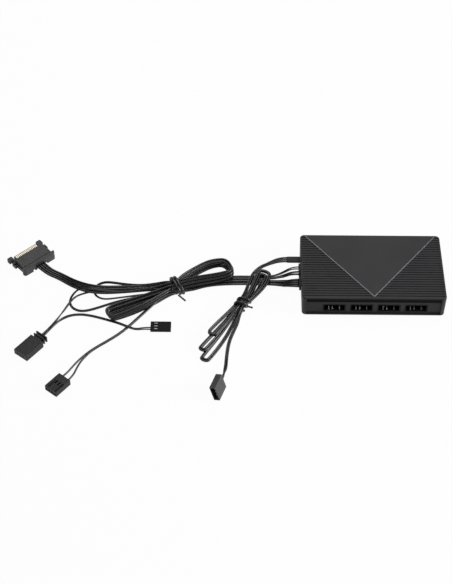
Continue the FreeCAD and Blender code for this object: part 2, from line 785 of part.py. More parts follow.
def make_strip_connector():
    x, y, heading = strip_end
    tilt = Rotation(Vector(0, 0, 1), heading).multiply(Rotation(Vector(1, 0, 0), size("strip_lean")))
    sink = size("strip_width") / 2 * math.sin(math.radians(size("strip_lean")))
    pose = Placement(Vector(x, y, sink), tilt)
    body = new_body("strip_connector")
    plan = new_sketch(body, "XY_Plane")
    rectangle(plan, "0", "strip_length", "-strip_width / 2", "strip_width / 2")
    pad(body, plan, "strip_height")
    mouth = new_sketch(body, "YZ_Plane", "strip_length")
    rectangle(mouth, "-strip_width / 2 + strip_wall", "strip_width / 2 - strip_wall", "strip_wall",
              "strip_height - strip_wall")
    pocket(body, mouth, "strip_depth")
    body.Placement = pose
    pins = new_body("strip_connector_pins")
    pin = new_sketch(pins, "YZ_Plane", "strip_length - strip_depth")
    start = "(strip_height / 2 - pin_pitch * (strip_pins - 1) / 2)"
    rectangle(pin, "-pin_size / 2", "pin_size / 2", *pin_edges(start))
    blade = pad(pins, pin, "strip_pin_length")
    repeat(pins, blade, "Z_Axis", "pin_pitch * (strip_pins - 1)", "strip_pins")
    pins.Placement = pose


# Cords: flat cables along straight runs joined by tangent arcs, each arc as large as its two runs allow
arc_share = 0.45


def cord_path(points):
    edges = []
    radii = []
    last = points[0]
    for before, corner, after in zip(points, points[1:], points[2:]):
        reach = arc_share * min((corner - before).Length, (after - corner).Length)
        half_turn = (corner - before).getAngle(after - corner) / 2
        radius = reach / math.tan(half_turn)
        start = corner + (before - corner).normalize() * reach
        end = corner + (after - corner).normalize() * reach
        inward = ((start + end) * 0.5 - corner).normalize()
        middle = corner + inward * (radius / math.cos(half_turn) - radius)
        edges.append(Part.LineSegment(last, start).toShape())
        edges.append(Part.Arc(start, middle, end).toShape())
        radii.append(radius)
        last = end
    edges.append(Part.LineSegment(last, points[-1]).toShape())
    return Part.Wire(edges), radii


# A band of upright rectangular section carried along a route
def band(points, width, height):
    path, radii = cord_path(points)
    ahead = points[1] - points[0]
    side = Vector(-ahead.y, ahead.x, 0).normalize() * width
    rise = Vector(0, 0, height)
    corner = points[0] - side * 0.5 - rise * 0.5
    section = Part.makePolygon([corner, corner + side, corner + side + rise, corner + rise, corner])
    sweep = Part.BRepOffsetAPI.MakePipeShell(path)
    sweep.setBiNormalMode(Vector(0, 0, 1))
    sweep.add(section)
    sweep.build()
    sweep.makeSolid()
    solid = sweep.shape()
    return solid, path.Length, radii


def add_shape(label, shape):
    piece = doc.addObject("Part::Feature", label)
    piece.Shape = shape
    nodes.append(piece)


def add_cord(label, points, wires, wire):
    width = wires * size(wire)
    solid, length, radii = band(points, width, size(wire))
    expected = width * size(wire) * length
    print("%s: %.0f mm long, volume %.3f of section times length, radii %s"
          % (label, length, solid.Volume / expected, " ".join("%.0f" % radius for radius in radii)))
    add_shape(label, solid)


# A loop of a hank in plan: a teardrop that runs out to its tip and back, widest two thirds of the way along.
# Its ends stand apart by the gap, and the bow bends its axis to one side.
teardrop_widest = 8 / (3 * math.sqrt(3))


def loop_route(start, tip, width, gap, bow, height):
    axis = Vector(tip[0] - start.x, tip[1] - start.y, 0)
    length = axis.Length
    axis.normalize()
    across = Vector(-axis.y, axis.x, 0)
    points = []
    for degrees in [0] + list(range(60, 301, 30)) + [360]:
        turn = math.radians(degrees)
        along = length * (1 - math.cos(turn)) / 2
        side = -width * math.sin(turn) * math.sin(turn / 2) / teardrop_widest
        side += gap * (turn / (2 * math.pi) - 0.5) + bow * math.sin(math.pi * along / length)
        points.append(Vector(start.x, start.y, height) + axis * along + across * side)
    return points


# A point at a height, so far along the heading of a pose and so far across it
def beside(pose, along, across, height):
    x, y, heading = pose
    turn = math.radians(heading)
    ahead = Vector(math.cos(turn), math.sin(turn), 0)
    return Vector(x, y, height) + ahead * along + Vector(-ahead.y, ahead.x, 0) * across


# A hank is its tied waist, a block along its heading, with the loops that stand out of both ends of it.
# A loop is its end of the waist, its place across it, lift, tip, width, gap and bow.
def make_hank(label, waist, prefix, loops, thickness, tall):
    x, y, heading = waist
    long = size(prefix + "_length")
    wide = size(prefix + "_width")
    lift = size("tie_thickness")
    shape = Part.makeBox(long, wide, size(prefix + "_height"), Vector(-long / 2, -wide / 2, lift))
    shape.Placement = Placement(Vector(x, y, 0), Rotation(Vector(0, 0, 1), heading))
    for end, across, loop_lift, tip, width, gap, bow in loops:
        start = beside(waist, end * (long / 2 - size("loop_root")), across, 0)
        route = loop_route(start, tip, width, gap, bow, loop_lift + tall / 2)
        shape = shape.fuse(band(route, thickness, tall)[0])
    add_shape(label, shape.removeSplitter())


# A twist tie: a collar round the waist, which rests on it, and a twisted end that lies out to one side
def make_tie(label, waist, prefix, tail_heading):
    x, y, heading = waist
    long = size(prefix + "_length")
    wide = size(prefix + "_width")
    high = size(prefix + "_height")
    thick = size("tie_thickness")
    span = size("tie_width")
    block = Part.makeBox(long, wide, high, Vector(-long / 2, -wide / 2, thick))
    collar = Part.makeBox(span, wide + 2 * thick, high + 2 * thick, Vector(-span / 2, -wide / 2 - thick, 0))
    turn = math.radians(tail_heading)
    end = Part.makeCylinder(thick, size("tie_tail"), Vector(0, -wide / 2 - thick / 2, 2 * thick),
                            Vector(math.cos(turn), math.sin(turn), 0))
    tie = collar.fuse(end).cut(block).removeSplitter()
    tie.Placement = Placement(Vector(x, y, 0), Rotation(Vector(0, 0, 1), heading))
    add_shape(label, tie)


# Straight ends of the cords, from the face outwards: at a port's plug, a waist's end and a connector's back
def port_end(port, across):
    level = size("base_thickness") + size("board_lift") + size("board_thickness") + size("port_height") / 2
    out = size("case_length") / 2 + size(port + "_plug_out")
    middle = size("power_place")
    for before, after in zip(ports[:ports.index(port)], ports[1:]):
        widths = [size(name + "_pin_count") * size(name + "_pin_pitch") for name in (before, after)]
        middle += sum(widths) / 2 + 2 * (size("plug_gap") + size("port_wall")) + size(after + "_gap")
    face = Vector(-out, middle + across, level)
    return [face, face - Vector(size("end_run"), 0, 0)]


def waist_end(waist, prefix, end, across, height):
    reach = size(prefix + "_length") / 2
    out = reach + size("end_run")
    return [beside(waist, end * along, across, height) for along in (reach, out)]


def plug_end(plug, across, height):
    return [beside(plug, 0, across, height), beside(plug, -size("end_run"), across, height)]


def strip_cable_end():
    lean = math.radians(size("strip_lean"))
    middle = size("strip_height") / 2
    sink = size("strip_width") / 2 * math.sin(lean)
    return plug_end(strip_end, -middle * math.sin(lean), sink + middle * math.cos(lean))


# Places of the hanks, x, y and heading, and their loops
main_waist = (-140.0, -9.8, 17)
light_waist = (-92.6, -25.6, 62)
main_loops = [(1, 0.0, 2.8, (-100.6, 6.5), 13.0, 5.0, 4.1), (-1, -2.5, 2.8, (-185.5, -37.0), 6.4, 2.4, 0.0)]
light_loops = [(1, -1.7, 2.0, (-75.0, 9.0), 11.5, 3.4, -2.0), (1, -1.7, 2.0, (-76.0, 3.0), 6.0, 1.6, -1.6),
               (-1, 2.6, 0.8, (-115.8, -51.3), 5.0, 2.0, 0.0), (-1, 1.6, 0.8, (-120.2, -66.5), 4.8, 2.0, 0.0),
               (-1, 1.0, 0.8, (-119.4, -75.0), 5.2, 1.6, 0.4)]

# Routes of the cords between their straight ends, chosen by hand
power_lead = [(-63.0, -3.6, 2.6), (-71.0, -1.2, 0.9), (-84.0, -0.8, 0.7), (-97.9, -0.8, 0.7),
              (-110.0, -1.9, 0.8), (-120.1, -4.9, 1.1)]
fan_lead = [(-63.0, 3.3, 2.8), (-71.0, 2.8, 0.9), (-84.0, 3.2, 0.7), (-98.1, 3.2, 0.7), (-110.8, 2.1, 0.8),
            (-121.5, -1.2, 1.1)]
sync_lead = [(-63.0, 7.0, 2.8), (-71.0, 5.4, 0.9), (-84.0, 5.8, 0.7), (-98.2, 5.8, 0.7), (-111.3, 4.6, 0.8),
             (-122.4, 1.2, 1.1)]
power_tail = [(-163.0, -12.2, 5.1), (-178.0, -13.2, 5.0), (-191.5, -13.6, 5.0), (-201.0, -12.2, 4.8),
              (-208.7, -8.7, 3.9), (-215.7, -3.4, 2.2), (-223.7, 2.8, 1.4), (-231.0, 6.0, 2.2)]
fan_tail = [(-154.0, -21.5, 1.2), (-158.8, -27.6, 0.7), (-164.6, -35.2, 0.7), (-171.0, -43.6, 0.7),
            (-177.4, -51.0, 0.7), (-184.4, -57.2, 0.7), (-191.2, -62.6, 0.7), (-197.6, -68.4, 0.8),
            (-203.0, -75.6, 1.2), (-206.4, -83.0, 1.9)]
small_loop = [(-163.5, -11.2, 7.5), (-175.0, -9.6, 6.6), (-183.5, -6.2, 4.6), (-190.0, -3.6, 2.6),
              (-194.6, -3.8, 1.2), (-197.6, -6.6, 0.7), (-198.5, -10.8, 0.6), (-197.2, -14.8, 0.6),
              (-194.0, -17.6, 0.6), (-189.4, -18.6, 0.6), (-181.0, -17.2, 0.6), (-167.0, -14.6, 0.7),
              (-156.5, -13.0, 1.1)]
big_loop = [(-163.0, -15.0, 7.3), (-178.0, -17.4, 7.0), (-192.0, -15.8, 7.1), (-201.3, -14.0, 7.0),
            (-208.4, -13.0, 5.6), (-212.8, -15.0, 2.4), (-215.0, -19.4, 0.8), (-214.6, -24.0, 0.6),
            (-212.0, -28.0, 0.6), (-207.0, -30.4, 0.6), (-200.4, -29.4, 0.6), (-191.0, -25.2, 0.6),
            (-180.6, -20.6, 0.7), (-168.0, -17.6, 1.5), (-157.0, -13.9, 2.7)]
sync_tail = [(-163.0, -10.6, 1.8), (-178.0, -12.0, 2.0), (-190.0, -12.2, 2.4), (-199.0, -12.8, 2.4),
             (-205.6, -14.4, 2.0), (-210.8, -17.6, 2.4), (-214.4, -22.8, 2.4), (-217.8, -29.2, 1.2),
             (-221.4, -37.0, 0.7), (-225.4, -43.6, 1.4)]
sync_branch = [(-222.0, -45.6, 1.4), (-218.2, -39.6, 0.7), (-213.4, -35.0, 0.6), (-206.8, -33.2, 0.6),
               (-199.6, -34.3, 0.6), (-192.0, -36.6, 0.6), (-185.0, -39.6, 1.2), (-178.5, -43.2, 2.6),
               (-171.0, -47.0, 2.6), (-166.2, -47.8, 1.7)]
light_lead = [(-71.9, 15.3, 4.4), (-79.3, 11.8, 3.4), (-85.4, 5.4, 3.1), (-88.6, -2.5, 3.0),
              (-90.6, -10.6, 3.0)]
light_tail = [(-95.6, -41.0, 0.8), (-97.3, -48.0, 0.6), (-99.4, -55.0, 0.6), (-101.0, -61.4, 0.6),
              (-102.2, -68.0, 0.6), (-103.1, -75.0, 0.9), (-103.3, -81.6, 2.4), (-103.7, -87.2, 4.6)]

# Height of the cables that lie lowest in the main waist
lead_height = 1.55


def make_cords():
    main = (main_waist, "waist")
    light = (light_waist, "light_waist")
    pair = size("pin_pitch")
    # label, wires, wire size, first straight end, route, last straight end
    cords = [
        ("power_cable_lead", "power_pin_count", "power_wire", port_end("power", 0), power_lead,
         waist_end(*main, 1, -2.5, lead_height)),
        ("fan_cable_lead", "fan_wires", "fan_wire", port_end("signal", -pair), fan_lead,
         waist_end(*main, 1, 1.5, lead_height)),
        ("sync_cable_lead", "sync_wires", "sync_wire", port_end("signal", pair), sync_lead,
         waist_end(*main, 1, 4.05, lead_height)),
        ("power_cable_tail", "power_pin_count", "power_wire", waist_end(*main, -1, 2.7, 5.2), power_tail,
         plug_end(power_end, 0, size("cap_height") / 2)),
        ("fan_cable_tail", "fan_wires", "fan_wire", waist_end(*main, -1, -3.5, lead_height), fan_tail,
         plug_end(fan_end, 0, size("header_height") / 2)),
        ("sync_loop_small", "sync_wires", "sync_wire", waist_end(*main, -1, 3.7, 8.2), small_loop,
         waist_end(*main, -1, 1.3, lead_height)),
        ("sync_loop_big", "sync_wires", "sync_wire", waist_end(*main, -1, 1.3, 7.8), big_loop,
         waist_end(*main, -1, 1.3, 3.4)),
        ("sync_cable_tail", "sync_wires", "sync_wire", waist_end(*main, -1, 3.7, lead_height), sync_tail,
         plug_end(sync_end, -1.9, size("sync_height") / 2)),
        ("sync_branch", "sync_wires", "sync_wire", plug_end(sync_end, 1.9, size("sync_height") / 2),
         sync_branch, plug_end(crimp_end, -1.6, size("crimp_height") / 2)),
        ("light_cable_lead", "argb_pin_count", "light_wire", port_end("argb", 0), light_lead,
         waist_end(*light, 1, 3.5, 3.0)),
        ("light_cable_tail", "argb_pin_count", "light_wire", waist_end(*light, -1, -2.9, 1.4), light_tail,
         strip_cable_end()),
    ]
    for label, wires, wire, first, route, last in cords:
        points = first + [Vector(*point) for point in route] + last[::-1]
        add_cord(label, points, size(wires), wire)
    make_hank("main_hank", main_waist, "waist", main_loops, size("band_thickness"), size("band_height"))
    make_tie("main_tie", main_waist, "waist", -50)
    make_hank("light_hank", light_waist, "light_waist", light_loops, size("light_band_thickness"),
              size("argb_pin_count") * size("light_wire"))
    make_tie("light_tie", light_waist, "light_waist", -35)


make_cover()
make_accent_line()
make_base()
make_screws()
make_board()
make_components()
for number in range(int(size("socket_count"))):
    make_fan_socket(number)
for port_name in ports:
    make_port(port_name)
make_power_connector()
make_fan_connector()
make_sync_connector()
make_crimp_connector()
make_strip_connector()
make_cords()
doc.recompute()

for item in doc.Objects:
    if "Invalid" in item.State or "Error" in item.State:
        raise RuntimeError("%s failed: %s" % (item.Name, item.State))
for item in nodes:
    if item.Shape.isNull() or not item.Shape.isValid():
        raise RuntimeError(item.Label + " has no valid shape")

os.makedirs("parts", exist_ok=True)
for item in nodes:
    item.Shape.exportStep("parts/%s.step" % item.Label)
print("%d nodes" % len(nodes))
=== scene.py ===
import bpy
import json
import math
import numpy as np
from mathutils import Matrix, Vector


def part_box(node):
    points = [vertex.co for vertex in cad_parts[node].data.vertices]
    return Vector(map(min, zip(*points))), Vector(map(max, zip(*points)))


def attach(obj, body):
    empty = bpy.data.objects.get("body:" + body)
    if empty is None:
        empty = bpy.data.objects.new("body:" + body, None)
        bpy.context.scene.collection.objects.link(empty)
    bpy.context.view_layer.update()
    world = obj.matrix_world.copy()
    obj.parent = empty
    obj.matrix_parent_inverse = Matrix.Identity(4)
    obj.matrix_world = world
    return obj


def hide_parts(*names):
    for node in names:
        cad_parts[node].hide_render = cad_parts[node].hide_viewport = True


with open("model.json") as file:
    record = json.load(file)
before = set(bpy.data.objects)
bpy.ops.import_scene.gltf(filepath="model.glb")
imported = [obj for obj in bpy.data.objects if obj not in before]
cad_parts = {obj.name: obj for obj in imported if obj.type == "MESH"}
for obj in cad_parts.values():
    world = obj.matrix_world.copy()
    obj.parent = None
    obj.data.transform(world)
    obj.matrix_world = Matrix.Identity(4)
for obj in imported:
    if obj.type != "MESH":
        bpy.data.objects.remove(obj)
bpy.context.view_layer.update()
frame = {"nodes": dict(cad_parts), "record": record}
mm = 0.001
print("frame loaded")


# the camera stands where the photo was taken from: its tilt is up from straight down, its turn to the left
cameraLook = dict(place=(-0.0966, -0.7017, 0.7419), tilt=43.0, turn=0.611, lens=87.21, sensor=36.0)


def setCamera(look):
    camera = bpy.data.cameras.new("photoCamera")
    camera.lens = look["lens"]
    camera.sensor_width = look["sensor"]
    holder = bpy.data.objects.new("photoCamera", camera)
    holder.location = look["place"]
    holder.rotation_euler = (math.radians(look["tilt"]), 0.0, math.radians(look["turn"]))
    bpy.context.scene.collection.objects.link(holder)
    bpy.context.scene.camera = holder


setCamera(cameraLook)
print("camera set")


# feeds a node's sockets: another node's socket is linked, anything else is set as a fixed value
def feed(tree, node, feeds):
    for socket, value in feeds.items():
        if isinstance(value, bpy.types.NodeSocket):
            tree.links.new(value, node.inputs[socket])
        else:
            node.inputs[socket].default_value = value
    return node


# a new node of a kind, with what feeds it
def addNode(tree, kind, feeds):
    return feed(tree, tree.nodes.new(kind), feeds)


# one sum: a product, a difference or the larger of two numbers, or the size of the first alone
def addSum(tree, operation, first, second=0.0):
    node = addNode(tree, "ShaderNodeMath", {0: first, 1: second})
    node.operation = operation
    return node.outputs[0]


# a number carried from one span over to another, evenly or as a smooth step
def addSpan(tree, value, start, end, steps="LINEAR"):
    node = addNode(tree, "ShaderNodeMapRange", {"Value": value, "From Min": start[0], "From Max": start[1],
                                                "To Min": end[0], "To Max": end[1]})
    node.interpolation_type = steps
    return node.outputs["Result"]


# lamps: a wide soft box overhead and behind, smaller ones in front and at the right, and light all round
studioLook = dict(
    lamps=[dict(name="overhead", place=(-0.10, 0.70, 1.15), target=(-0.10, 0.0, 0.0), side=1.0, power=8.4),
           dict(name="front", place=(-0.25, -0.42, 1.2), target=(-0.10, 0.0, 0.0), side=0.6, power=2.6),
           dict(name="right", place=(1.0, -0.15, 0.42), target=(-0.10, -0.05, 0.0), side=0.6, power=13.0)],
    skyColour=(1.0, 1.0, 1.0, 1.0), skyLight=0.08,
    floorSide=6.0, floorColour=(0.80, 0.80, 0.80, 1.0), floorGlow=0.96)


# a square lamp that faces its target: tilted by the angle off the upright, turned by the bearing on the floor
def addLamp(look):
    lamp = bpy.data.lights.new(look["name"], "AREA")
    lamp.shape = "SQUARE"
    lamp.size = look["side"]
    lamp.energy = look["power"]
    holder = bpy.data.objects.new(look["name"], lamp)
    holder.location = look["place"]
    away = np.subtract(look["place"], look["target"])
    tilt = math.acos(away[2] / np.linalg.norm(away))
    holder.rotation_euler = (tilt, 0.0, math.atan2(away[0], -away[1]))
    bpy.context.scene.collection.objects.link(holder)


# light all round: full strength for what the camera sees, a small share of it for every other ray
def setWorld(look):
    world = bpy.data.worlds.new("studioWorld")
    world.use_nodes = True
    tree = world.node_tree
    seen = addNode(tree, "ShaderNodeLightPath", {}).outputs["Is Camera Ray"]
    strength = addSpan(tree, seen, (0.0, 1.0), (look["skyLight"], 1.0))
    feed(tree, tree.nodes["Background"], {"Color": look["skyColour"], "Strength": strength})
    bpy.context.scene.world = world
    bpy.context.scene.view_settings.view_transform = "Standard"


# one for the rays that see a thing directly, from the camera, off gloss or through glass, nought for the rest
def seenDirectly(tree):
    path = addNode(tree, "ShaderNodeLightPath", {})
    both = addSum(tree, "MAXIMUM", path.outputs["Is Camera Ray"], path.outputs["Is Glossy Ray"])
    return addSum(tree, "MAXIMUM", both, path.outputs["Is Transmission Ray"])


# a square of white paper at height nought: matt, mixed with a glow that only counts where it is seen directly
def layFloor(look):
    half = look["floorSide"] / 2
    corners = [(-half, -half, 0), (half, -half, 0), (half, half, 0), (-half, half, 0)]
    mesh = bpy.data.meshes.new("floor")
    mesh.from_pydata(corners, [], [(0, 1, 2, 3)])
    floor = bpy.data.objects.new("floor", mesh)
    bpy.context.scene.collection.objects.link(floor)
    paper = bpy.data.materials.new("whitePaper")
    paper.use_nodes = True
    tree = paper.node_tree
    tree.nodes.remove(tree.nodes["Principled BSDF"])
    matt = addNode(tree, "ShaderNodeBsdfDiffuse", {"Color": look["floorColour"]})
    glow = addNode(tree, "ShaderNodeEmission", {})
    share = addSum(tree, "MULTIPLY", seenDirectly(tree), look["floorGlow"])
    mix = addNode(tree, "ShaderNodeMixShader", {0: share, 1: matt.outputs[0], 2: glow.outputs[0]})
    feed(tree, tree.nodes["Material Output"], {"Surface": mix.outputs[0]})
    mesh.materials.append(paper)


for lampLook in studioLook["lamps"]:
    addLamp(lampLook)
setWorld(studioLook)
layFloor(studioLook)
print("studio set")


# shared by all finishes: the middle part of a noise, its details, and the samples that ease an edge
patternLook = dict(middle=(0.30, 0.70), detail=3.0, grainDetail=2.0, edgeSamples=4)


# starts a finish: its material, its nodes and the coordinates that its patterns read
def newFinish(name, source):
    material = bpy.data.materials.new(name)
    material.use_nodes = True
    tree = material.node_tree
    return material, tree, addNode(tree, "ShaderNodeTexCoord", {}).outputs[source]


# noise read on coordinates stretched by three numbers
def addNoise(tree, place, stretch, detail):
    mapping = addNode(tree, "ShaderNodeMapping", {"Vector": place, "Scale": stretch})
    feeds = {"Vector": mapping.outputs["Vector"], "Scale": 1.0, "Detail": detail}
    return addNode(tree, "ShaderNodeTexNoise", feeds).outputs["Fac"]


# a colour that runs from dark to light as the factor runs through its middle part
def addTones(tree, factor, colour, drift):
    ramp = addNode(tree, "ShaderNodeValToRGB", {"Fac": factor})
    first, last = ramp.color_ramp.elements
    first.position, last.position = patternLook["middle"]
    first.color = [c * (1 - drift) for c in colour] + [1.0]
    last.color = [c * (1 + drift) for c in colour] + [1.0]
    return ramp.outputs["Color"]


# a bump as high as the depth times the factor, on normals that turn evenly over edges where a radius is given
def addGrain(tree, factor, depth, edge):
    bump = addNode(tree, "ShaderNodeBump", {"Strength": 1.0, "Distance": depth, "Height": factor})
    if edge:
        ease = addNode(tree, "ShaderNodeBevel", {"Radius": edge})
        ease.samples = patternLook["edgeSamples"]
        feed(tree, bump, {"Normal": ease.outputs["Normal"]})
    return bump.outputs["Normal"]


# one inside a box given by its middle and half sizes, nought outside it: the product of three smooth steps,
# each on the distance from the middle along one axis
def addBand(tree, place, band):
    parts = addNode(tree, "ShaderNodeSeparateXYZ", {"Vector": place})
    inside = []
    for axis, middle, half in zip("XYZ", band["middle"], band["half"]):
        distance = addSum(tree, "ABSOLUTE", addSum(tree, "SUBTRACT", parts.outputs[axis], middle))
        inside.append(addSpan(tree, distance, (half, half + band["soft"]), (1.0, 0.0), "SMOOTHSTEP"))
    return addSum(tree, "MULTIPLY", addSum(tree, "MULTIPLY", inside[0], inside[1]), inside[2])


# a colour or a number that goes over to a fixed one as the factor grows
def addBlend(tree, kind, factor, first, second):
    blend = addNode(tree, "ShaderNodeMix", {})
    blend.data_type = kind
    sockets = {socket.name: socket for socket in blend.inputs if socket.enabled}
    tree.links.new(factor, sockets["Factor"])
    tree.links.new(first, sockets["A"])
    sockets["B"].default_value = second
    return [socket for socket in blend.outputs if socket.enabled][0]


# lays two patterns on a finish: the first drifts its colour, the second makes its roughness waver and is its
# grain; inside a band, where it has one, colour and roughness go over to the band's own. On the case that
# band is painted shade under the front lip; on the three pin connector it is a duller tone.
def layPatterns(tree, place, look, waver, cloud, grain):
    tones = addTones(tree, cloud, look["colour"], look["drift"])
    rough = addSpan(tree, grain, patternLook["middle"], (look["rough"] - waver, look["rough"] + waver))
    if "band" in look:
        band = look["band"]
        inside = addBand(tree, place, band)
        tones = addBlend(tree, "RGBA", inside, tones, [c * band["tone"] for c in look["colour"]] + [1.0])
        rough = addBlend(tree, "FLOAT", inside, rough, band["rough"])
    normal = addGrain(tree, grain, look["depth"], look.get("edge", 0.0))
    feeds = {"Base Color": tones, "Roughness": rough, "Normal": normal}
    return feed(tree, tree.nodes["Principled BSDF"], feeds)


# moulded plastic: cloudy drift of colour, a fine grain in gloss and bump, and edges eased by a small round
def mouldedPlastic(name, look, waver=0.06):
    material, tree, place = newFinish(name, "Object")
    cloud = addNoise(tree, place, (look["cloud"],) * 3, patternLook["detail"])
    grain = addNoise(tree, place, (look["grain"],) * 3, patternLook["grainDetail"])
    shader = layPatterns(tree, place, look, waver, cloud, grain)
    feed(tree, shader, {"Specular IOR Level": look["gloss"]})
    return material


# plated metal: a brushed noise drawn out along one direction, in colour, gloss and bump
def platedMetal(name, look, waver=0.08):
    material, tree, place = newFinish(name, "Object")
    brush = addNoise(tree, place, look["brush"], patternLook["detail"])
    shader = layPatterns(tree, place, look, waver, brush, brush)
    feed(tree, shader, {"Metallic": 1.0})
    return material


# wire cover: streaks along the wire by its own map, whose first number counts the wires and goes round each
def wireCover(name, look, waver=0.07):
    material, tree, place = newFinish(name, "UV")
    streak = addNoise(tree, place, look["streak"], patternLook["detail"])
    shader = layPatterns(tree, place, look, waver, streak, streak)
    feed(tree, shader, {"Specular IOR Level": look["gloss"]})
    return material


# painted shade: a dark, matt band along the front, over the lip's lower part and the top of the recess, where
# the shadow gap under the lip falls
paintedLipShade = dict(middle=(0.0, -0.0309, 0.0145), half=(0.0470, 0.0012, 0.0019), soft=0.0006,
                 tone=0.12, rough=0.95)
# the three pin connector's body and contacts are duller than their like
threePinBox = dict(middle=(-0.149, -0.0464, 0.0013), half=(0.009, 0.0055, 0.0030), soft=0.0010)
bodyBand = dict(threePinBox, tone=0.40, rough=0.75)
contactBand = dict(threePinBox, tone=0.75, rough=0.42)
plasticLooks = dict(
    # the case's finish carries the painted shade band under the front lip
    case_black=dict(colour=(0.027, 0.027, 0.029), drift=0.10, cloud=45.0, grain=2600.0, rough=0.50,
                    depth=0.00004, edge=0.0003, gloss=0.22, band=paintedLipShade),
    base_black=dict(colour=(0.026, 0.026, 0.027), drift=0.10, cloud=45.0, grain=2600.0, rough=0.55,
                    depth=0.00004, edge=0.0003, gloss=0.25),
    board_green=dict(colour=(0.015, 0.070, 0.040), drift=0.12, cloud=90.0, grain=1500.0, rough=0.35,
                     depth=0.00001, edge=0.0001, gloss=0.5),
    package_black=dict(colour=(0.022, 0.022, 0.023), drift=0.12, cloud=200.0, grain=3500.0, rough=0.6,
                       depth=0.00002, edge=0.0001, gloss=0.4),
    socket_black=dict(colour=(0.007, 0.007, 0.007), drift=0.12, cloud=120.0, grain=3000.0, rough=0.5,
                      depth=0.00002, edge=0.0002, gloss=0.15),
    plug_black=dict(colour=(0.015, 0.015, 0.016), drift=0.14, cloud=120.0, grain=2400.0, rough=0.46,
                    depth=0.00004, edge=0.0003, gloss=0.25, band=bodyBand),
    connector_grey=dict(colour=(0.052, 0.052, 0.054), drift=0.15, cloud=160.0, grain=1800.0, rough=0.5,
                        depth=0.00008, edge=0.0003, gloss=0.35))
metalLooks = dict(
    accent_silver=dict(colour=(0.18, 0.185, 0.19), drift=0.08, brush=(900.0, 900.0, 900.0), rough=0.45,
                       depth=0.00001, edge=0.0001),
    screw_steel=dict(colour=(0.18, 0.18, 0.19), drift=0.15, brush=(600.0, 600.0, 3000.0), rough=0.4,
                     depth=0.00002, edge=0.0002),
    can_metal=dict(colour=(0.62, 0.63, 0.64), drift=0.08, brush=(300.0, 300.0, 4000.0), rough=0.32,
                   depth=0.00001, edge=0.0002),
    pin_metal=dict(colour=(0.35, 0.345, 0.335), drift=0.10, brush=(2500.0, 600.0, 2500.0), rough=0.30,
                   depth=0.00001, edge=0.0001, band=contactBand),
    contact_gold=dict(colour=(0.70, 0.62, 0.50), drift=0.12, brush=(1500.0, 1500.0, 1500.0), rough=0.35,
                      depth=0.00001, edge=0.0001))
coverLooks = dict(
    cable_black=dict(colour=(0.011, 0.011, 0.0115), drift=0.20, streak=(1.7, 25.0, 1.0), rough=0.31,
                     depth=0.000004, gloss=0.62),
    tie_black=dict(colour=(0.016, 0.016, 0.0165), drift=0.14, streak=(2.0, 60.0, 1.0), rough=0.32,
                   depth=0.000006, gloss=0.6))

finishes = {}
for makeFinish, looks in ((mouldedPlastic, plasticLooks), (platedMetal, metalLooks), (wireCover, coverLooks)):
    finishes.update({name: makeFinish(name, look) for name, look in looks.items()})
for subpart in frame["record"]["subparts"]:
    for place in frame["nodes"][subpart["node"]].material_slots:
        place.material = finishes[subpart["material_slot"]]
print("finishes laid on the packed nodes")


# reads the points of a smooth line of order three that the rows steer; any three columns can be drawn out so
def splinePoints(rows, steps=10):
    curve = bpy.data.curves.new("route", "CURVE")
    curve.dimensions = "3D"
    spline = curve.splines.new("NURBS")
    spline.points.add(len(rows) - 1)
    spline.points.foreach_set("co", np.column_stack([rows, np.ones(len(rows))]).ravel())
    spline.order_u = 3
    spline.use_endpoint_u = True
    spline.resolution_u = steps
    holder = bpy.data.objects.new("route", curve)
    mesh = bpy.data.meshes.new_from_object(holder)
    points = np.empty(len(mesh.vertices) * 3)
    mesh.vertices.foreach_get("co", points)
    bpy.data.meshes.remove(mesh)
    bpy.data.objects.remove(holder)
    bpy.data.curves.remove(curve)
    return points.reshape(-1, 3)


# vectors divided by their own lengths
def unit(vectors):
    return vectors / np.linalg.norm(vectors, axis=-1, keepdims=True)


# values drawn out evenly over a number of rows
def drawn(values, count):
    return np.interp(np.linspace(0, 1, count), np.linspace(0, 1, len(values)), values)


# a circle of the radius as a profile: cosine and sine of even turns
def roundProfile(radius, sides=10):
    turn = np.arange(sides) * 2 * np.pi / sides
    return radius * np.column_stack([np.cos(turn), np.sin(turn)])


